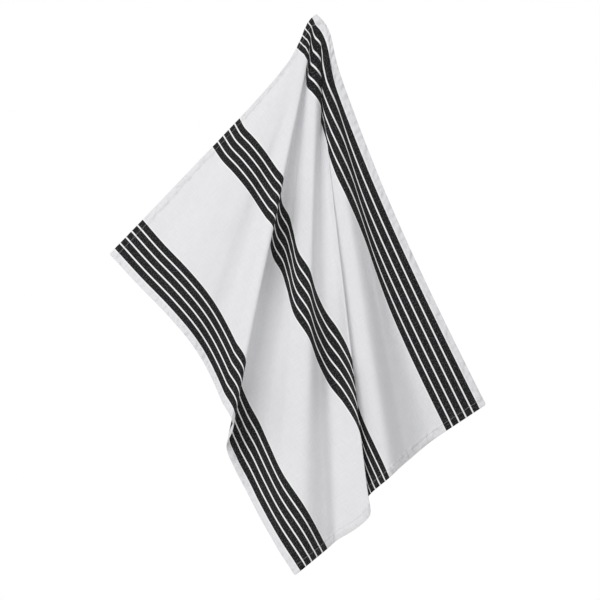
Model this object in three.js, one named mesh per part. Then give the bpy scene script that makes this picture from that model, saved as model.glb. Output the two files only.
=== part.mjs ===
// Tea towel hung by one corner: a single striped cotton cloth, fallen into long folds.
// Millimetres. +Z is up, +X is to the right seen from the front, and the front faces -Y.
// The origin is the hung corner, where the right selvedge meets the upper hem.
import * as THREE from 'three';

// The cloth laid flat: across runs from the right selvedge, along runs from the upper hem.
const CLOTH_WIDTH = 500;
const CLOTH_LENGTH = 660;
const CLOTH_THICKNESS = 1.4;
const HEM_THICKNESS = 2.4;
const HEM_WIDTH = 12;
const SELVEDGE_WIDTH = 8;
const HEM_STEP_WIDTH = 2;

// How finely the cloth is divided between its hems.
const STEPS_ACROSS = 36;
const STEPS_ALONG = 50;

// The long folds run down from the hung corner. Each row is one line along them, at three reaches:
// where the line lies on the flat cloth, in degrees turned from the right selvedge,
// where it hangs seen from the front, in degrees turned from straight down to the right,
// how far it stands towards the viewer, in degrees,
// and how much length small creases take up along it, below zero where the bias stretches.
const FOLD_REACHES = [100, 300, 750];
const FOLD_LINES = {
  rightSelvedge: [[0, 0, 0], [21.2, 21, 23.8], [1, 1.4, 2], 31],
  rightStripes: [[3.6, 3, 3.5], [15.6, 17.8, 20.2], [1.6, 1.8, 2.4], 24],
  rightHollow: [[6.3, 7.3, 9.3], [13.8, 14, 14.7], [1.6, 1.6, 2.2], 13],
  rightSlope: [[8.4, 11.3, 13], [12, 12.1, 11.6], [3, 3.4, 4.6], 4],
  rightSwell: [[10.6, 15.1, 18.6], [9.7, 9.2, 8.9], [5, 6, 8], 0],
  underRightFold: [[14.7, 18.8, 23.2], [6.3, 6.4, 6], [4, 5, 7], -2],
  rightTuck: [[18, 21.2, 25], [3.9, 5.4, 5.4], [2.5, 4.9, 7], -3],
  rightFold: [[21.5, 23.7, 26.9], [3.3, 5.2, 6.1], [1.3, 5.6, 8.2], -3],
  rightRise: [[23.2, 26.8, 29.9], [3, 3.6, 4.2], [0.7, 3.4, 7], -3],
  middleHollow: [[25.5, 29, 31.6], [2.4, 1.7, 2.2], [0.5, 3.5, 5.8], -3],
  middleSlope: [[31.5, 31.8, 33.2], [3.6, 0.1, 1], [4, 5, 6.6], -3],
  middleSwell: [[35, 35.5, 36], [-0.3, -1.5, -1.2], [8.6, 6.8, 8.2], -3],
  middleRise: [[37, 38.3, 39.1], [-2.6, -4, -4], [8, 5.8, 7.4], -3],
  leftSlope: [[39.5, 43.4, 41.6], [-6.5, -6, -6], [6.6, 4, 6], -3],
  leftHollow: [[45, 47.6, 44.1], [-8.6, -7.9, -8], [5, 3, 4.8], -2],
  underLeftFold: [[49, 50.3, 46.6], [-10, -10.4, -10.2], [5, 3.8, 4.8], 2],
  leftTuck: [[54, 52.8, 48.1], [-11.2, -11.6, -11.7], [8, 6.3, 5.3], 10],
  leftFold: [[61, 55.2, 49.7], [-11.6, -11.5, -11.3], [11.5, 9.6, 7.3], 17],
  leftShoulder: [[63.5, 57.6, 54.2], [-14, -14, -13.7], [11.6, 8.8, 7.2], 20],
  wingHollow: [[67.5, 61.2, 60.8], [-16.4, -17.1, -17], [11, 7.8, 6], 22],
  wingCrease: [[73.5, 66.6, 67.4], [-21, -21, -20.9], [9.5, 8.2, 5.6], 22],
  wingMiddle: [[80.5, 74.6, 75], [-26, -27, -26.8], [8, 7, 4.6], 23],
  wingEdge: [[86, 82.5, 82], [-29.2, -33, -33], [5.5, 4.6, 2.6], 25],
  upperHem: [[90, 90, 90], [-30, -38.4, -42.3], [4, 2.4, 0.6], 32],
};
const CREASE_REACH = 100;

// The corner itself stays flat and square, and the folds grow from it, sooner along the upper hem.
const CORNER_REACH = 57;
const HEM_CORNER_REACH = 33;
const CORNER_BEARING = 48;
const CORNER_SPREAD = 1.17;

const degreesOf = (radians) => (radians * 180) / Math.PI;
const radiansOf = (degrees) => (degrees * Math.PI) / 180;
const clamp = (value, low, high) => Math.min(Math.max(value, low), high);

// Smooth curve through the points (xs, ys), read at x.
function curveAt(x, xs, ys) {
  const last = xs.length - 1;
  const width = (k) => xs[k + 1] - xs[k];
  const rise = (k) => (ys[k + 1] - ys[k]) / width(k);
  const slope = (k) => {
    if (k === 0) return rise(0);
    if (k === last) return rise(last - 1);
    return (rise(k - 1) * width(k) + rise(k) * width(k - 1)) / (width(k - 1) + width(k));
  };
  let k = 0;
  while (k < last - 1 && x > xs[k + 1]) k += 1;
  const u = (x - xs[k]) / width(k);
  const v = 1 - u;
  const ends = ys[k] * v * v * (1 + 2 * u) + ys[k + 1] * u * u * (1 + 2 * v);
  return ends + width(k) * u * v * (slope(k) * v - slope(k + 1) * u);
}

// How much each of the three reaches counts at this reach.
function reachShares(reach) {
  const stops = FOLD_REACHES.map(Math.log);
  const level = clamp(Math.log(reach), stops[0], stops[stops.length - 1]);
  return stops.map((_, stop) => curveAt(level, stops, stops.map((__, k) => Number(k === stop))));
}

// Where a point of the flat cloth hangs.
function hangingPoint(across, along) {
  const reach = Math.hypot(across, along);
  if (reach === 0) return new THREE.Vector3();
  const flat = degreesOf(Math.atan2(across, along));
  const rows = Object.values(FOLD_LINES);
  const shares = reachShares(reach);
  const columnAt = (column) => rows.map((row) => {
    return row[column].reduce((total, value, k) => total + value * shares[k], 0);
  });
  const lines = columnAt(0);
  const grown = CORNER_REACH + ((HEM_CORNER_REACH - CORNER_REACH) * flat) / 90;
  const folded = 1 - Math.exp(-((reach / grown) ** 2));
  const cornerBearing = CORNER_BEARING - CORNER_SPREAD * flat;
  const foldBearing = curveAt(flat, lines, columnAt(1));
  const bearing = radiansOf(cornerBearing * (1 - folded) + foldBearing * folded);
  const lean = radiansOf(curveAt(flat, lines, columnAt(2)) * folded);
  const creased = curveAt(flat, lines, rows.map((row) => row[3]));
  const distance = reach - creased * (1 - Math.exp(-reach / CREASE_REACH));
  return new THREE.Vector3(
    distance * Math.cos(lean) * Math.sin(bearing),
    -distance * Math.sin(lean),
    -distance * Math.cos(lean) * Math.cos(bearing),
  );
}

// Places of the grid lines over one size of the cloth, with a line on each side of both hem steps.
function gridPlaces(size, hem, steps) {
  const inner = hem + HEM_STEP_WIDTH;
  const places = [0, hem];
  for (let k = 0; k <= steps; k += 1) {
    places.push(inner + ((size - 2 * inner) * k) / steps);
  }
  return [...places, size - hem, size];
}

// Full thickness of the cloth, thicker where the hems are turned.
function thicknessAt(across, along) {
  const inSelvedge = Math.min(across, CLOTH_WIDTH - across) <= SELVEDGE_WIDTH;
  const inHem = Math.min(along, CLOTH_LENGTH - along) <= HEM_WIDTH;
  return inSelvedge || inHem ? HEM_THICKNESS : CLOTH_THICKNESS;
}

// A closed sheet over the grid: the front, the back behind it, and a rim round the edge.
function clothGeometry() {
  const acrossPlaces = gridPlaces(CLOTH_WIDTH, SELVEDGE_WIDTH, STEPS_ACROSS);
  const alongPlaces = gridPlaces(CLOTH_LENGTH, HEM_WIDTH, STEPS_ALONG);
  const columns = acrossPlaces.length;
  const rows = alongPlaces.length;
  const middle = alongPlaces.map((along) => acrossPlaces.map((across) => hangingPoint(across, along)));

  const outwardAt = (row, column) => {
    const toLeft = new THREE.Vector3().subVectors(
      middle[row][Math.min(column + 1, columns - 1)],
      middle[row][Math.max(column - 1, 0)],
    );
    const toFoot = new THREE.Vector3().subVectors(
      middle[Math.min(row + 1, rows - 1)][column],
      middle[Math.max(row - 1, 0)][column],
    );
    return toLeft.cross(toFoot).normalize();
  };

  const positions = [];
  for (const side of [1, -1]) {
    for (let row = 0; row < rows; row += 1) {
      for (let column = 0; column < columns; column += 1) {
        const half = thicknessAt(acrossPlaces[column], alongPlaces[row]) / 2;
        const point = middle[row][column].clone().addScaledVector(outwardAt(row, column), side * half);
        positions.push(point.x, point.y, point.z);
      }
    }
  }

  const front = (row, column) => row * columns + column;
  const back = (row, column) => rows * columns + front(row, column);
  const triangles = [];
  for (let row = 0; row < rows - 1; row += 1) {
    for (let column = 0; column < columns - 1; column += 1) {
      const corners = [[row, column], [row, column + 1], [row + 1, column + 1], [row + 1, column]];
      const [a, b, c, d] = corners.map((corner) => front(...corner));
      const [e, f, g, h] = corners.map((corner) => back(...corner));
      triangles.push(a, b, c, a, c, d, e, g, f, e, h, g);
    }
  }

  const edge = [];
  for (let column = 0; column < columns - 1; column += 1) edge.push([0, column]);
  for (let row = 0; row < rows - 1; row += 1) edge.push([row, columns - 1]);
  for (let column = columns - 1; column > 0; column -= 1) edge.push([rows - 1, column]);
  for (let row = rows - 1; row > 0; row -= 1) edge.push([row, 0]);
  edge.forEach((here, k) => {
    const next = edge[(k + 1) % edge.length];
    triangles.push(front(...next), front(...here), back(...here));
    triangles.push(front(...next), back(...here), back(...next));
  });

  const geometry = new THREE.BufferGeometry();
  geometry.setAttribute('position', new THREE.Float32BufferAttribute(positions, 3));
  geometry.setIndex(triangles);
  geometry.computeVertexNormals();
  return geometry;
}

// White cotton. The black stripes are woven in and stand no higher than the rest.
const cotton = new THREE.MeshStandardMaterial({ color: 0xe9e9ec, roughness: 0.92, metalness: 0 });

const cloth = new THREE.Mesh(clothGeometry(), cotton);
cloth.name = 'towel_cloth';

const teaTowel = new THREE.Group();
teaTowel.add(cloth);

export default teaTowel;
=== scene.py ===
import math

import bpy
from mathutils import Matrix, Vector, noise


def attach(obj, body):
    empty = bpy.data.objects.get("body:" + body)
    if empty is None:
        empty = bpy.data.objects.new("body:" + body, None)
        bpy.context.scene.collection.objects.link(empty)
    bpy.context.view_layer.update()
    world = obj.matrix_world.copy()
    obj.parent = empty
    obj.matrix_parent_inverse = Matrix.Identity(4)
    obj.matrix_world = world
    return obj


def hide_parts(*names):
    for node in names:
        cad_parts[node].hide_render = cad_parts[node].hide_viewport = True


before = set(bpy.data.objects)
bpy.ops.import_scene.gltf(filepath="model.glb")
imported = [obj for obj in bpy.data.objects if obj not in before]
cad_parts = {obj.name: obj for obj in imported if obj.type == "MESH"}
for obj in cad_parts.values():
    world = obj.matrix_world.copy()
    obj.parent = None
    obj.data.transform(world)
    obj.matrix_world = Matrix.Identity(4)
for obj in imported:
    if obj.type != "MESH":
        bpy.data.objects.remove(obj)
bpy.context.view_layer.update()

bl_info = {
    "name": "Hung tea towel",
    "version": (1, 0, 0),
    "blender": (4, 5, 0),
    "location": "3D Viewport > Sidebar > Tea towel",
    "description": "Builds a striped cotton tea towel hung by one corner",
    "category": "Add Mesh",
}

# The long folds run down from the hung corner. Each row is one line along them, at three reaches:
# where the line lies on the flat cloth, in degrees turned from the right selvedge,
# where it hangs seen from the front, in degrees turned from straight down to the right,
# how far it stands towards the viewer, in degrees,
# and how much length small creases take up along it, in metres. It is below zero where the bias
# stretches.
FOLD_REACHES = (0.1, 0.3, 0.75)
FOLD_LINES = {
    "right selvedge": ((0, 0, 0), (21.2, 21, 23.8), (1, 1.4, 2), 0.031),
    "right stripes": ((3.6, 3, 3.5), (15.6, 17.8, 20.2), (1.6, 1.8, 2.4), 0.024),
    "right hollow": ((6.3, 7.3, 9.3), (13.8, 14, 14.7), (1.6, 1.6, 2.2), 0.013),
    "right slope": ((8.4, 11.3, 13), (12, 12.1, 11.6), (3, 3.4, 4.6), 0.004),
    "right swell": ((10.6, 15.1, 18.6), (9.7, 9.2, 8.9), (5, 6, 8), 0),
    "under the right fold": ((14.7, 18.8, 23.2), (6.3, 6.4, 6), (4, 5, 7), -0.002),
    "right tuck": ((18, 21.2, 25), (3.9, 5.4, 5.4), (2.5, 4.9, 7), -0.003),
    "right fold": ((21.5, 23.7, 26.9), (3.3, 5.2, 6.1), (1.3, 5.6, 8.2), -0.003),
    "right rise": ((23.2, 26.8, 29.9), (3, 3.6, 4.2), (0.7, 3.4, 7), -0.003),
    "middle hollow": ((25.5, 29, 31.6), (2.4, 1.7, 2.2), (0.5, 3.5, 5.8), -0.003),
    "middle slope": ((31.5, 31.8, 33.2), (3.6, 0.1, 1), (4, 5, 6.6), -0.003),
    "middle swell": ((35, 35.5, 36), (-0.3, -1.5, -1.2), (8.6, 6.8, 8.2), -0.003),
    "middle rise": ((37, 38.3, 39.1), (-2.6, -4, -4), (8, 5.8, 7.4), -0.003),
    "left slope": ((39.5, 43.4, 41.6), (-6.5, -6, -6), (6.6, 4, 6), -0.003),
    "left hollow": ((45, 47.6, 44.1), (-8.6, -7.9, -8), (5, 3, 4.8), -0.002),
    "under the left fold": ((49, 50.3, 46.6), (-10, -10.4, -10.2), (5, 3.8, 4.8), 0.002),
    "left tuck": ((54, 52.8, 48.1), (-11.2, -11.6, -11.7), (8, 6.3, 5.3), 0.01),
    "left fold": ((61, 55.2, 49.7), (-11.6, -11.5, -11.3), (11.5, 9.6, 7.3), 0.017),
    "left shoulder": ((63.5, 57.6, 54.2), (-14, -14, -13.7), (11.6, 8.8, 7.2), 0.02),
    "wing hollow": ((67.5, 61.2, 60.8), (-16.4, -17.1, -17), (11, 7.8, 6), 0.022),
    "wing crease": ((73.5, 66.6, 67.4), (-21, -21, -20.9), (9.5, 8.2, 5.6), 0.022),
    "wing middle": ((80.5, 74.6, 75), (-26, -27, -26.8), (8, 7, 4.6), 0.023),
    "wing edge": ((86, 82.5, 82), (-29.2, -33, -33), (5.5, 4.6, 2.6), 0.025),
    "upper hem": ((90, 90, 90), (-30, -38.4, -42.3), (4, 2.4, 0.6), 0.032),
}
CREASE_REACH = 0.1

# The corner itself stays flat and square, and the folds grow from it, sooner along the upper hem.
CORNER_REACH = 0.057
HEM_CORNER_REACH = 0.033
CORNER_BEARING = 48
CORNER_SPREAD = 1.17

# The mesh is finer near the corner, where the folds are narrow. Every hem has lines of its own:
# close together at the rounded rim, at two shares of its width, at its stitches and at its step.
FINE_SPACING = 0.0023
WIDE_SPACING = 0.0033
FINE_ACROSS = 0.16
FINE_ALONG = 0.12
RIM_WIDTH = 0.0024
RIM_LINES = (0, 0.0007, RIM_WIDTH)
HEM_LINE_SHARES = (0.4, 0.58)
HEM_STEP = 0.0008
SELVEDGE_STEP = 0.0024

# The rounded rim and the hems drawn in along their stitches, as shares of the thickness. The side
# stitches draw in a share of what the end stitches do.
RIM_FLATNESS = 0.5
RIM_BULGE = 0.35
STITCH_DRAW = 0.35
SIDE_STITCH_SHARE = 0.15
STITCH_DRAW_WIDTH = 0.001

# The small waves along the hems. They fade out into the cloth and are lower at the rim, and their
# height comes and goes along the hem. The shifts and seeds keep the four hems from being alike.
PUCKER_FADE = 0.006
PUCKER_AT_RIM = 0.45
PUCKER_WAVES_EACH = 1.15
PUCKER_LENGTH = 0.03
PUCKER_RUN = 0.07
PUCKER_MEAN = 0.65
PUCKER_SWING = 0.7
PUCKER_LEAST = 0.1
PUCKER_GAIN = 2.2
LOWER_HEM_SHIFT = 3
LEFT_SELVEDGE_SHIFT = 5
END_HEM_SEED = 2.3
SELVEDGE_SEED = 7.1
RUN_SEED_STEP = 4

# The soft unevenness of the cloth grows with the distance from the corner. Each row is one noise
# along the folds: how fast it changes with the turn and with the distance, its seed and its share.
RIPPLE_GROWTH = (0.03, 0.3)
RIPPLES = ((9, 4.5, 1.7, 1), (21, 7, 5.2, 0.5))
SMALL_RIPPLE_SCALE = 32
SMALL_RIPPLE_SEED = 9.4
SMALL_RIPPLE_SHARE = 0.25

# The woven stripes: how their edges waver and blend, and the white yarn beside each group.
WAVER_SCALES = (160, 900)
WAVER = 0.0004
STRIPE_BLEND = 0.00025
GROUP_BLEND = (-0.0001, 0.0004)
WHITER_BLEND = (0.001, 0.0022)

# The yarns: noise scales across and along the cloth, and how much each one changes the tone, the
# relief and the roughness. The hollows between the threads are also darkened in colour, as painted
# shade.
THREAD_BLEND = 0.1
SLUB_SCALES = (1400, 45)
MOTTLE_SCALE = 22
SLUB_TONE = 0.16
MOTTLE_TONE = 0.04
# Painted shade: how much darker the colour is made in the hollows of the weave.
HOLLOW_SHADE = 0.03
SPECKLE_SCALES = (640, 420)
SPECKLE_GAIN = 5
WEFT_FLECK = 0.2
SLUB_RELIEF = 1.6
THREAD_RELIEF = 0.00015
THREAD_STRENGTH = 0.5
ROUGHNESS = 0.86
SLUB_ROUGHNESS = 0.12
STRIPE_ROUGHNESS = 0.02

# The stitches: how wide their line is, how long the gaps are, and how clearly they show. Their grey
# is the thread on the black stripes, and painted shade along the stitches on the white cloth.
END_STITCH_BLEND = (0.0002, 0.0005)
SIDE_STITCH_BLEND = (0.0001, 0.0004)
STITCH_GAP_BLEND = (0.0003, 0.0005)
STITCH_CLEARNESS = 0.42
STITCH_CLEARNESS_ON_BLACK = 0.26
SIDE_STITCH_CLEARNESS = 0.12
STITCH_RELIEF = 0.6

# The fine puckers of the hems, and how they fade out round the inner edge of each kind of hem.
PUCKER_SCALE = 105
END_PUCKER_BLEND = (-0.002, 0.006)
SIDE_PUCKER_BLEND = (-0.002, 0.005)

# The floor's mottle.
FLOOR_MOTTLE_SCALE = 6.0
FLOOR_MOTTLE = 0.06
FLOOR_MOTTLE_COLOUR = (0.7, 0.7, 0.7)

# The two lights: where they stand and how wide they are.
KEY_PLACE = (-1.8, -2.7, 1.4)
KEY_SIZE = 2.8
BACK_PLACE = (1.8, 2.4, 1.0)
BACK_SIZE = 1.8


class TowelCloth(bpy.types.PropertyGroup):
    """Sizes of the cloth laid flat, of its hems and of the small waves in it."""

    width: bpy.props.FloatProperty(
        name="Width", description="Width of the cloth from selvedge to selvedge",
        default=0.5, min=0.3, unit="LENGTH")
    length: bpy.props.FloatProperty(
        name="Length", description="Length of the cloth from hem to hem",
        default=0.66, min=0.4, unit="LENGTH")
    thickness: bpy.props.FloatProperty(
        name="Thickness", description="Thickness of the single cloth",
        default=0.0009, min=0.0004, unit="LENGTH")
    hem_thickness: bpy.props.FloatProperty(
        name="Hem thickness", description="Thickness of the cloth where it is turned and stitched",
        default=0.0021, min=0.0004, unit="LENGTH")
    hem_width: bpy.props.FloatProperty(
        name="Hem width", description="Width of the hems at the two short ends",
        default=0.012, min=0.004, unit="LENGTH")
    selvedge_width: bpy.props.FloatProperty(
        name="Selvedge width", description="Width of the narrow hems along the two long sides",
        default=0.008, min=0.004, unit="LENGTH")
    selvedge_fullness: bpy.props.FloatProperty(
        name="Selvedge fullness",
        description="How much thicker the side hems are, as a share of the end hems",
        default=0.35, min=0, max=1)
    corner_radius: bpy.props.FloatProperty(
        name="Corner radius", description="Radius of the three corners that hang free",
        default=0.0025, min=0, unit="LENGTH")
    stitch_inset: bpy.props.FloatProperty(
        name="Stitch inset", description="How far the stitches lie inside the inner edge of a hem",
        default=0.0013, min=0.0005, unit="LENGTH")
    pucker_depth: bpy.props.FloatProperty(
        name="Pucker depth", description="Height of the small waves that the stitches draw in",
        default=0.0004, min=0, unit="LENGTH")
    pucker_spacing: bpy.props.FloatProperty(
        name="Pucker spacing", description="Distance along a hem from one small wave to the next",
        default=0.0085, min=0.004, unit="LENGTH")
    ripple_depth: bpy.props.FloatProperty(
        name="Ripple depth", description="Height of the soft unevenness all over the cloth",
        default=0.0009, min=0, unit="LENGTH")


class TowelPattern(bpy.types.PropertyGroup):
    """Sizes of the woven stripes, of the threads, of the puckers and of the stitches."""

    stripe_width: bpy.props.FloatProperty(
        name="Stripe width", description="Width of one black stripe",
        default=0.0101, min=0.002, unit="LENGTH")
    stripe_pitch: bpy.props.FloatProperty(
        name="Stripe pitch", description="Distance from one black stripe to the next in its group",
        default=0.0123, min=0.003, unit="LENGTH")
    stripe_count: bpy.props.IntProperty(
        name="Stripes in a group", description="How many black stripes are in each group",
        default=5, min=1)
    side_group_inset: bpy.props.FloatProperty(
        name="Side group inset",
        description="Distance from a selvedge to the middle of the group beside it",
        default=0.0405, min=0.01, unit="LENGTH")
    thread_pitch: bpy.props.FloatProperty(
        name="Thread pitch", description="Distance from one thread of the weave to the next",
        default=0.0006, min=0.0002, unit="LENGTH")
    pucker_relief: bpy.props.FloatProperty(
        name="Pucker relief", description="Height of the fine puckers in the hems",
        default=0.004, min=0, unit="LENGTH")
    stitch_length: bpy.props.FloatProperty(
        name="Stitch length", description="Length of one stitch with the gap after it",
        default=0.0026, min=0.001, unit="LENGTH")


class TowelColours(bpy.types.PropertyGroup):
    """Colours of the yarns."""

    ground: bpy.props.FloatVectorProperty(
        name="Ground", description="Colour of the plain cotton",
        default=(0.83, 0.83, 0.85), size=3, min=0, max=1, subtype="COLOR")
    line: bpy.props.FloatVectorProperty(
        name="Line", description="Colour of the whiter yarn between and beside the black stripes",
        default=(0.97, 0.97, 0.97), size=3, min=0, max=1, subtype="COLOR")
    stripe: bpy.props.FloatVectorProperty(
        name="Stripe", description="Colour of the black yarn",
        default=(0.0035, 0.0038, 0.0045), size=3, min=0, max=1, subtype="COLOR")
    stripe_fleck: bpy.props.FloatVectorProperty(
        name="Stripe fleck", description="Colour of the paler flecks in the black stripes",
        default=(0.068, 0.07, 0.074), size=3, min=0, max=1, subtype="COLOR")
    # The stitch grey is the thread where it crosses the black stripes, and painted shade along the
    # stitch line where it lies on the white cloth.
    stitch: bpy.props.FloatVectorProperty(
        name="Stitch", description="Colour of the sewing thread",
        default=(0.42, 0.42, 0.43), size=3, min=0, max=1, subtype="COLOR")


class TowelStage(bpy.types.PropertyGroup):
    """The floor, the lights and the camera."""

    floor_height: bpy.props.FloatProperty(
        name="Floor height", description="Height of the floor below the hung corner",
        default=-1.2, unit="LENGTH")
    floor_size: bpy.props.FloatProperty(
        name="Floor size", description="Length of each side of the floor",
        default=4.4, min=1, unit="LENGTH")
    floor_colour: bpy.props.FloatVectorProperty(
        name="Floor", description="Colour of the floor",
        default=(0.78, 0.78, 0.78), size=3, min=0, max=1, subtype="COLOR")
    backdrop_strength: bpy.props.FloatProperty(
        name="Backdrop", description="Brightness of the plain background",
        default=1.0, min=0)
    ambient_strength: bpy.props.FloatProperty(
        name="Ambient light", description="Brightness of the soft light from all round",
        default=0.54, min=0)
    key_power: bpy.props.FloatProperty(
        name="Key light", description="Power of the large light at the upper left",
        default=65, min=0, unit="POWER")
    back_power: bpy.props.FloatProperty(
        name="Back light", description="Power of the large light behind the towel",
        default=50, min=0, unit="POWER")
    camera_distance: bpy.props.FloatProperty(
        name="Camera distance", description="Distance from the camera to the hung corner's plane",
        default=6.0, min=1, unit="LENGTH")
    camera_field: bpy.props.FloatProperty(
        name="Camera field", description="Width of the view at the plane of the hung corner",
        default=0.888, min=0.1, unit="LENGTH")
    camera_across: bpy.props.FloatProperty(
        name="Camera across", description="How far right of the hung corner the camera looks",
        default=-0.0244, unit="LENGTH")
    camera_height: bpy.props.FloatProperty(
        name="Camera height", description="Height at which the camera looks, from the hung corner",
        default=-0.4228, unit="LENGTH")


def clamp(value, low, high):
    return min(max(value, low), high)


def fade(value, low, high):
    """0 below low, 1 above high, with a smooth rise between them."""
    u = clamp((value - low) / (high - low), 0, 1)
    return u * u * (3 - 2 * u)


def curve_at(x, xs, ys):
    """The smooth curve through the points (xs, ys), read at x."""
    last = len(xs) - 1

    def width(k):
        return xs[k + 1] - xs[k]

    def rise(k):
        return (ys[k + 1] - ys[k]) / width(k)

    def slope(k):
        if k == 0:
            return rise(0)
        if k == last:
            return rise(last - 1)
        return (rise(k - 1) * width(k) + rise(k) * width(k - 1)) / (width(k - 1) + width(k))

    k = 0
    while k < last - 1 and x > xs[k + 1]:
        k += 1
    u = (x - xs[k]) / width(k)
    v = 1 - u
    ends = ys[k] * v * v * (1 + 2 * u) + ys[k + 1] * u * u * (1 + 2 * v)
    return ends + width(k) * u * v * (slope(k) * v - slope(k + 1) * u)


def hanging_point(across, along):
    """Where a point of the flat cloth hangs, measured from the right selvedge and the upper hem."""
    reach = math.hypot(across, along)
    if reach == 0:
        return Vector()
    flat = math.degrees(math.atan2(across, along))
    stops = [math.log(stop) for stop in FOLD_REACHES]
    level = clamp(math.log(reach), stops[0], stops[-1])
    shares = [curve_at(level, stops, [float(stop == here) for stop in stops]) for here in stops]
    *columns, creases = zip(*FOLD_LINES.values())
    lines, bearings, leans = (
        [sum(share * value for share, value in zip(shares, values)) for values in column]
        for column in columns
    )
    grown = CORNER_REACH + (HEM_CORNER_REACH - CORNER_REACH) * flat / 90
    folded = 1 - math.exp(-((reach / grown) ** 2))
    corner_bearing = CORNER_BEARING - CORNER_SPREAD * flat
    fold_bearing = curve_at(flat, lines, bearings)
    bearing = math.radians(corner_bearing * (1 - folded) + fold_bearing * folded)
    lean = math.radians(curve_at(flat, lines, leans) * folded)
    creased = curve_at(flat, lines, creases)
    distance = reach - creased * (1 - math.exp(-reach / CREASE_REACH))
    return Vector((
        distance * math.cos(lean) * math.sin(bearing),
        -distance * math.sin(lean),
        -distance * math.cos(lean) * math.cos(bearing),
    ))


def grid_places(size, hem, stitch, fine):
    """Places of the mesh's lines over one size of the cloth, closer in its hems and the corner."""
    inner = hem + HEM_STEP
    shares = [hem * share for share in HEM_LINE_SHARES]
    edge = [*RIM_LINES, *shares, hem - 2 * stitch, hem - stitch, hem, inner]
    places = list(edge)
    while places[-1] < size - inner - WIDE_SPACING:
        places.append(places[-1] + (FINE_SPACING if places[-1] < fine else WIDE_SPACING))
    stretch = (size - 2 * inner) / (places[-1] + WIDE_SPACING - inner)
    middle = [inner + (place - inner) * stretch for place in places[len(edge):]]
    return [*edge, *middle, *(size - place for place in reversed(edge))]


def rounded_corner(cloth, across, along):
    """The same place, drawn in where it lies in a rounded corner. The hung corner stays square."""
    from_side = cloth.corner_radius - min(across, cloth.width - across)
    from_end = cloth.corner_radius - min(along, cloth.length - along)
    if from_side <= 0 or from_end <= 0 or across + along < 2 * cloth.corner_radius:
        return across, along
    drawn_in = 1 - max(from_side, from_end) / math.hypot(from_side, from_end)
    return (
        across + math.copysign(from_side * drawn_in, cloth.width / 2 - across),
        along + math.copysign(from_end * drawn_in, cloth.length / 2 - along),
    )


def pucker_at(cloth, across, along):
    """Height of the small waves that the stitching draws into the hems."""
    total = 0
    from_end = min(along, cloth.length - along)
    from_side = min(across, cloth.width - across)
    run_of_end = across + (along > cloth.length / 2) * LOWER_HEM_SHIFT
    run_of_side = along + (across > cloth.width / 2) * LEFT_SELVEDGE_SHIFT
    for inset, hem, run, seed in (
        (from_end, cloth.hem_width, run_of_end, END_HEM_SEED),
        (from_side, cloth.selvedge_width, run_of_side, SELVEDGE_SEED),
    ):
        stitch = hem - cloth.stitch_inset
        past_stitch = math.exp(-((max(inset - stitch, 0) / PUCKER_FADE) ** 2))
        near = past_stitch * (PUCKER_AT_RIM + (1 - PUCKER_AT_RIM) * fade(inset, 0, stitch))
        waves = run / cloth.pucker_spacing * PUCKER_WAVES_EACH
        wave = noise.noise(Vector((waves, inset / PUCKER_LENGTH, seed)))
        swing = noise.noise(Vector((run / PUCKER_RUN, 0, seed + RUN_SEED_STEP)))
        total += near * wave * max(PUCKER_MEAN + PUCKER_SWING * swing, PUCKER_LEAST)
    return total * PUCKER_GAIN * cloth.pucker_depth


def ripple_at(cloth, across, along):
    """Height of the soft unevenness of the cloth, drawn out along the folds."""
    reach = math.hypot(across, along)
    turn = math.atan2(across, along)
    soft = sum(
        share * noise.noise(Vector((turn * by_turn, reach * by_reach, seed)))
        for by_turn, by_reach, seed, share in RIPPLES
    )
    small = noise.noise(Vector((
        across * SMALL_RIPPLE_SCALE, along * SMALL_RIPPLE_SCALE, SMALL_RIPPLE_SEED)))
    return cloth.ripple_depth * (soft * fade(reach, *RIPPLE_GROWTH) + SMALL_RIPPLE_SHARE * small)


def thickness_at(cloth, across, along):
    """Full thickness: rounded at the rim, thick in the hems and drawn in at the stitches."""
    from_end = min(along, cloth.length - along)
    from_side = min(across, cloth.width - across)
    past_hem = from_end - cloth.hem_width
    past_selvedge = from_side - cloth.selvedge_width
    turned = max(
        1 - fade(past_hem, 0, HEM_STEP),
        cloth.selvedge_fullness * (1 - fade(past_selvedge, 0, SELVEDGE_STEP)),
    )
    from_end_stitch = abs(past_hem + cloth.stitch_inset)
    from_side_stitch = abs(past_selvedge + cloth.stitch_inset)
    drawn_in = max(
        1 - fade(from_end_stitch, 0, STITCH_DRAW_WIDTH),
        SIDE_STITCH_SHARE * (1 - fade(from_side_stitch, 0, STITCH_DRAW_WIDTH)),
    )
    hem_extra = (cloth.hem_thickness - cloth.thickness) * turned * (1 - STITCH_DRAW * drawn_in)
    from_rim = math.sqrt(clamp(min(from_end, from_side) / RIM_WIDTH, 0, 1))
    return (cloth.thickness + hem_extra) * (RIM_FLATNESS + (1 - RIM_FLATNESS) * from_rim)


def outwards(points):
    """Unit normals of a grid of points, on the side that faces the viewer."""
    rows, columns = len(points), len(points[0])
    normals = []
    for r in range(rows):
        above, below = points[max(r - 1, 0)], points[min(r + 1, rows - 1)]
        here = points[r]
        to_left = [here[min(c + 1, columns - 1)] - here[max(c - 1, 0)] for c in range(columns)]
        normals.append([to_left[c].cross(below[c] - above[c]).normalized() for c in range(columns)])
    return normals


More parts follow.
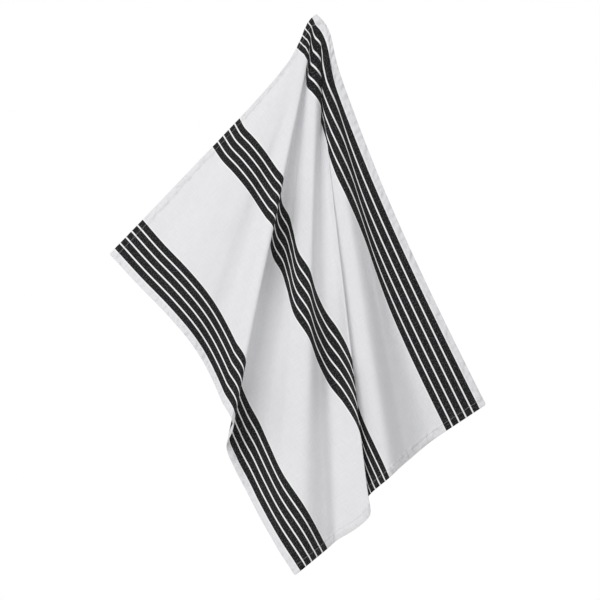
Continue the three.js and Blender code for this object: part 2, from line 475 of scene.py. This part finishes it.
def cloth_mesh(cloth):
    """The closed sheet: a front and a back over the same grid, and a rounded rim between them."""
    across_places = grid_places(cloth.width, cloth.selvedge_width, cloth.stitch_inset, FINE_ACROSS)
    along_places = grid_places(cloth.length, cloth.hem_width, cloth.stitch_inset, FINE_ALONG)
    rows, columns = len(along_places), len(across_places)
    places = [[(across, along) for across in across_places] for along in along_places]
    smooth = [[hanging_point(*rounded_corner(cloth, *place)) for place in row] for row in places]
    middle = [
        [
            point + normal * (pucker_at(cloth, *place) + ripple_at(cloth, *place))
            for point, normal, place in zip(*lists)
        ]
        for lists in zip(smooth, outwards(smooth), places)
    ]
    normals = outwards(middle)

    vertices, flat_places, faces = [], [], []
    for side in (1, -1):
        for r in range(rows):
            for c in range(columns):
                half = thickness_at(cloth, *places[r][c]) / 2
                vertices.append(middle[r][c] + normals[r][c] * side * half)
                flat_places.append(places[r][c])
    back = rows * columns
    for r in range(rows - 1):
        for c in range(columns - 1):
            a = r * columns + c
            corners = (a, a + 1, a + columns + 1, a + columns)
            faces.append(corners)
            faces.append(tuple(back + corner for corner in reversed(corners)))

    edge = [(0, c) for c in range(columns - 1)]
    edge += [(r, columns - 1) for r in range(rows - 1)]
    edge += [(rows - 1, c) for c in range(columns - 1, 0, -1)]
    edge += [(r, 0) for r in range(rows - 1, 0, -1)]
    rim = len(vertices)
    for r, c in edge:
        inner = middle[clamp(r, 1, rows - 2)][clamp(c, 1, columns - 2)]
        out = (middle[r][c] - inner).normalized()
        vertices.append(middle[r][c] + out * thickness_at(cloth, *places[r][c]) * RIM_BULGE)
        flat_places.append(places[r][c])
    for k, (r, c) in enumerate(edge):
        following = (k + 1) % len(edge)
        here, there = r * columns + c, edge[following][0] * columns + edge[following][1]
        faces.append((there, here, rim + k, rim + following))
        faces.append((rim + following, rim + k, back + here, back + there))

    mesh = bpy.data.meshes.new("tea_towel")
    mesh.from_pydata(vertices, [], faces)
    mesh.polygons.foreach_set("use_smooth", [True] * len(mesh.polygons))
    flat = mesh.attributes.new("flat_place", "FLOAT_VECTOR", "POINT")
    flat.data.foreach_set("vector", [value for place in flat_places for value in (*place, 0)])
    mesh.validate()
    mesh.update()
    return mesh


class Value:
    """One output of a node. Arithmetic on it adds the Math nodes that work it out."""

    def __init__(self, nodes, socket):
        self.nodes = nodes
        self.socket = socket

    def math(self, operation, *others):
        sockets = dict(zip(("Value", "Value_001"), others))
        return self.nodes.add("ShaderNodeMath", {"operation": operation}, sockets)

    def __add__(self, other):
        return self.math("ADD", self, other)

    def __radd__(self, other):
        return self.math("ADD", other, self)

    def __sub__(self, other):
        return self.math("SUBTRACT", self, other)

    def __rsub__(self, other):
        return self.math("SUBTRACT", other, self)

    def __mul__(self, other):
        return self.math("MULTIPLY", self, other)

    def __gt__(self, other):
        return self.math("GREATER_THAN", self, other)

    def __abs__(self):
        return self.math("ABSOLUTE", self)

    def sine(self):
        return self.math("SINE", self)

    def least(self, other):
        return self.math("MINIMUM", self, other)

    def from_nearest(self, spacing):
        """Distance to the nearest whole number of spacings."""
        return self.math("PINGPONG", self, spacing / 2)

    def rise(self, low, high):
        """0 below low, 1 above high, with a smooth rise between them."""
        return self.nodes.add("ShaderNodeMapRange", {"interpolation_type": "SMOOTHSTEP"}, {
            "Value": self, "From Min": low, "From Max": high, "To Min": 0.0, "To Max": 1.0,
        })


class Nodes:
    """Adds nodes to the tree of one material or world."""

    def __init__(self, owner):
        owner.use_nodes = True
        self.tree = owner.node_tree
        self.tree.nodes.clear()

    def add(self, kind, settings=None, sockets=None, output=None):
        """One output of a new node. Its settings are made first, then its sockets by identifier."""
        node = self.tree.nodes.new(kind)
        for name, setting in (settings or {}).items():
            setattr(node, name, setting)
        inputs = {socket.identifier: socket for socket in node.inputs}
        for name, value in (sockets or {}).items():
            if isinstance(value, Value):
                self.tree.links.new(value.socket, inputs[name])
            else:
                inputs[name].default_value = value
        outputs = [socket for socket in node.outputs if socket.enabled]
        if not outputs:
            return None
        return Value(self, node.outputs[output] if output else outputs[0])

    def mix(self, factor, first, second):
        """first where factor is 0 and second where it is 1, for colours."""
        colours = [
            colour if isinstance(colour, Value) else (*colour, 1.0) for colour in (first, second)
        ]
        return self.add("ShaderNodeMix", {"data_type": "RGBA"}, {
            "Factor_Float": factor, "A_Color": colours[0], "B_Color": colours[1],
        })


def thread_noise(nodes, across, along, across_scale, along_scale, detail=2.0):
    """Noise over the flat cloth, from 0 to 1, with its own scale each way."""
    place = nodes.add("ShaderNodeCombineXYZ", None, {
        "X": across * across_scale, "Y": along * along_scale,
    })
    return nodes.add("ShaderNodeTexNoise", {"noise_dimensions": "3D"}, {
        "Vector": place, "Scale": 1.0, "Detail": detail, "Roughness": 0.55,
    })


def cotton_material(cloth, pattern, colours):
    """Matt plain-weave cotton, with the stripes woven in and the hems stitched."""
    material = bpy.data.materials.new("striped_cotton")
    nodes = Nodes(material)
    place = nodes.add("ShaderNodeAttribute", {"attribute_name": "flat_place"}, None, "Vector")
    across = nodes.add("ShaderNodeSeparateXYZ", None, {"Vector": place}, "X")
    along = nodes.add("ShaderNodeSeparateXYZ", None, {"Vector": place}, "Y")

    # Stripes: the distance to the middle of the nearest group, then of the nearest stripe in it.
    waver = (thread_noise(nodes, across, along, *WAVER_SCALES) - 0.5) * WAVER
    from_middle = abs(across + waver - cloth.width / 2)
    from_group = from_middle.least(abs(from_middle - (cloth.width / 2 - pattern.side_group_inset)))
    half_stripe = pattern.stripe_width / 2
    half_group = pattern.stripe_pitch * (pattern.stripe_count - 1) / 2 + half_stripe
    from_stripe = from_group.from_nearest(pattern.stripe_pitch)
    in_stripe = 1 - from_stripe.rise(half_stripe - STRIPE_BLEND, half_stripe + STRIPE_BLEND)
    in_group = 1 - from_group.rise(*(half_group + blend for blend in GROUP_BLEND))
    black = in_stripe * in_group
    whiter = 1 - from_group.rise(*(half_group + blend for blend in WHITER_BLEND))

    # Weave: each thread goes over and under the ones that cross it.
    turn = math.pi / pattern.thread_pitch
    warp = (across * turn).sine()
    weft = (along * turn).sine()
    warp_over = (warp * weft).rise(-THREAD_BLEND, THREAD_BLEND)
    height = warp_over * abs(warp) + (1 - warp_over) * abs(weft)
    slubs = (
        thread_noise(nodes, across, along, *SLUB_SCALES)
        + thread_noise(nodes, across, along, *reversed(SLUB_SCALES))
    )
    mottle = thread_noise(nodes, across, along, MOTTLE_SCALE, MOTTLE_SCALE, 3.0)

    # Stitches: one line of dashes inside each hem's inner edge.
    from_end = along.from_nearest(cloth.length)
    from_side = across.from_nearest(cloth.width)
    end_line = cloth.hem_width - cloth.stitch_inset
    side_line = cloth.selvedge_width - cloth.stitch_inset
    end_stitch = (
        (1 - abs(from_end - end_line).rise(*END_STITCH_BLEND))
        * across.from_nearest(pattern.stitch_length).rise(*STITCH_GAP_BLEND)
        * (from_side > side_line)
    )
    side_stitch = (
        (1 - abs(from_side - side_line).rise(*SIDE_STITCH_BLEND))
        * along.from_nearest(pattern.stitch_length).rise(*STITCH_GAP_BLEND)
        * (from_end > end_line)
    )

    # Colour: the yarns of each stripe, the tone of each thread with painted shade in the hollows of
    # the weave, and the stitches on top.
    ground = nodes.mix(whiter, colours.ground, colours.line)
    speckle = thread_noise(nodes, across, along, *SPECKLE_SCALES)
    flecks = (1 - warp_over) * WEFT_FLECK + (speckle - 0.5) * SPECKLE_GAIN
    stripe = nodes.mix(flecks.rise(0.0, 1.0), colours.stripe, colours.stripe_fleck)
    woven = nodes.mix(black, ground, stripe)
    # Slubs and mottle are the yarn's own tone. The last term is painted shade, darkening the colour
    # where the threads dip into the hollows of the weave.
    tone_and_weave_shade = 1 + (slubs - 1) * SLUB_TONE + (mottle - 0.5) * MOTTLE_TONE - (1 - height) * HOLLOW_SHADE
    toned_and_shaded = nodes.add("ShaderNodeVectorMath", {"operation": "SCALE"}, {
        "Vector": woven, "Scale": tone_and_weave_shade,
    })
    # The stitch grey lightens the black stripes as thread, and darkens the white cloth as painted
    # shade along the stitches.
    stitch_thread_and_shade = end_stitch * (STITCH_CLEARNESS + black * STITCH_CLEARNESS_ON_BLACK)
    colour = nodes.mix(stitch_thread_and_shade, toned_and_shaded, colours.stitch)
    # The side stitches lie on the white margins, where their grey stands both for the thread and
    # for painted shade along the stitch line.
    colour = nodes.mix(side_stitch * SIDE_STITCH_CLEARNESS, colour, colours.stitch)

    # Relief: the threads and stitches, then the puckers of the hems.
    stitches = end_stitch + side_stitch * SIDE_STITCH_SHARE
    threads = nodes.add("ShaderNodeBump", None, {
        "Strength": THREAD_STRENGTH,
        "Distance": THREAD_RELIEF,
        "Height": height + (slubs - 1) * SLUB_RELIEF + stitches * STITCH_RELIEF,
    })
    past_end_hem = from_end.rise(*(cloth.hem_width + blend for blend in END_PUCKER_BLEND))
    past_side_hem = from_side.rise(*(cloth.selvedge_width + blend for blend in SIDE_PUCKER_BLEND))
    in_hem = 1 - past_end_hem.least(past_side_hem)
    puckers = thread_noise(nodes, across, along, PUCKER_SCALE, PUCKER_SCALE, 0.0) - 0.5
    normal = nodes.add("ShaderNodeBump", None, {
        "Strength": 1.0,
        "Distance": pattern.pucker_relief,
        "Height": puckers * in_hem,
        "Normal": threads,
    })
    shader = nodes.add("ShaderNodeBsdfPrincipled", None, {
        "Base Color": colour,
        "Roughness": ROUGHNESS + (slubs - 1) * SLUB_ROUGHNESS + black * STRIPE_ROUGHNESS,
        "Normal": normal,
        "Specular IOR Level": 0.25,
        "Sheen Weight": 0.06,
        "Sheen Roughness": 0.5,
    })
    nodes.add("ShaderNodeOutputMaterial", None, {"Surface": shader})
    return material


def floor_material(colour):
    """Matt pale paint with a faint mottle."""
    material = bpy.data.materials.new("pale_floor")
    nodes = Nodes(material)
    place = nodes.add("ShaderNodeTexCoord", None, None, "Object")
    mottle = nodes.add("ShaderNodeTexNoise", None, {
        "Vector": place, "Scale": FLOOR_MOTTLE_SCALE, "Detail": 3.0,
    })
    shader = nodes.add("ShaderNodeBsdfPrincipled", None, {
        "Base Color": nodes.mix(mottle * FLOOR_MOTTLE, colour, FLOOR_MOTTLE_COLOUR),
        "Roughness": 0.8,
    })
    nodes.add("ShaderNodeOutputMaterial", None, {"Surface": shader})
    return material


class TOWEL_OT_cloth(bpy.types.Operator):
    """Build the hung towel"""

    bl_idname = "towel.cloth"
    bl_label = "Towel"

    def execute(self, context):
        scene = context.scene
        cloth = scene.towel_cloth
        towel = bpy.data.objects.new("tea_towel", cloth_mesh(cloth))
        scene.collection.objects.link(towel)
        cotton = cotton_material(cloth, scene.towel_pattern, scene.towel_colours)
        towel.data.materials.append(cotton)
        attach(towel, "root")
        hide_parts("towel_cloth")
        return {"FINISHED"}


class TOWEL_OT_stage(bpy.types.Operator):
    """Build the floor, the background, the lights and the camera"""

    bl_idname = "towel.stage"
    bl_label = "Stage"

    def execute(self, context):
        scene = context.scene
        stage = scene.towel_stage

        half = stage.floor_size / 2
        mesh = bpy.data.meshes.new("floor")
        corners = [(-half, -half, 0), (half, -half, 0), (half, half, 0), (-half, half, 0)]
        mesh.from_pydata(corners, [], [(0, 1, 2, 3)])
        floor = bpy.data.objects.new("floor", mesh)
        floor.location.z = stage.floor_height
        scene.collection.objects.link(floor)
        floor.data.materials.append(floor_material(stage.floor_colour))

        world = bpy.data.worlds.new("studio")
        scene.world = world
        nodes = Nodes(world)
        seen = nodes.add("ShaderNodeLightPath", None, None, "Is Camera Ray")
        strength = seen * stage.backdrop_strength + (1 - seen) * stage.ambient_strength
        background = nodes.add("ShaderNodeBackground", None, {
            "Color": (1.0, 1.0, 1.0, 1.0), "Strength": strength,
        })
        nodes.add("ShaderNodeOutputWorld", None, {"Surface": background})

        target = Vector((stage.camera_across, 0, stage.camera_height))
        for name, place, size, power in (
            ("key", KEY_PLACE, KEY_SIZE, stage.key_power),
            ("back", BACK_PLACE, BACK_SIZE, stage.back_power),
        ):
            lamp = bpy.data.lights.new(name, "AREA")
            lamp.shape = "DISK"
            lamp.size = size
            lamp.energy = power
            light = bpy.data.objects.new(name, lamp)
            light.location = place
            light.rotation_euler = (target - light.location).to_track_quat("-Z", "Y").to_euler()
            scene.collection.objects.link(light)

        lens = bpy.data.cameras.new("camera")
        lens.lens = lens.sensor_width * stage.camera_distance / stage.camera_field
        camera = bpy.data.objects.new("camera", lens)
        camera.location = target - Vector((0, stage.camera_distance, 0))
        camera.rotation_euler = (math.radians(90), 0, 0)
        scene.collection.objects.link(camera)
        scene.camera = camera
        scene.view_settings.view_transform = "Standard"
        return {"FINISHED"}


class TOWEL_PT_panel(bpy.types.Panel):
    """The towel's sizes and colours, and the buttons that build it"""

    bl_idname = "TOWEL_PT_panel"
    bl_label = "Tea towel"
    bl_space_type = "VIEW_3D"
    bl_region_type = "UI"
    bl_category = "Tea towel"

    def draw(self, context):
        for settings, operator in (
            (("towel_cloth", "towel_pattern", "towel_colours"), TOWEL_OT_cloth),
            (("towel_stage",), TOWEL_OT_stage),
        ):
            box = self.layout.box()
            for setting in settings:
                group = getattr(context.scene, setting)
                for name in group.__annotations__:
                    box.prop(group, name)
            box.operator(operator.bl_idname)


GROUPS = {
    "towel_cloth": TowelCloth,
    "towel_pattern": TowelPattern,
    "towel_colours": TowelColours,
    "towel_stage": TowelStage,
}
CLASSES = (*GROUPS.values(), TOWEL_OT_cloth, TOWEL_OT_stage, TOWEL_PT_panel)


def register():
    for cls in CLASSES:
        bpy.utils.register_class(cls)
    for name, group in GROUPS.items():
        setattr(bpy.types.Scene, name, bpy.props.PointerProperty(type=group))


def unregister():
    for name in GROUPS:
        delattr(bpy.types.Scene, name)
    for cls in reversed(CLASSES):
        bpy.utils.unregister_class(cls)


def main():
    register()
    bpy.ops.towel.cloth()
    bpy.ops.towel.stage()


if __name__ == "__main__":
    main()
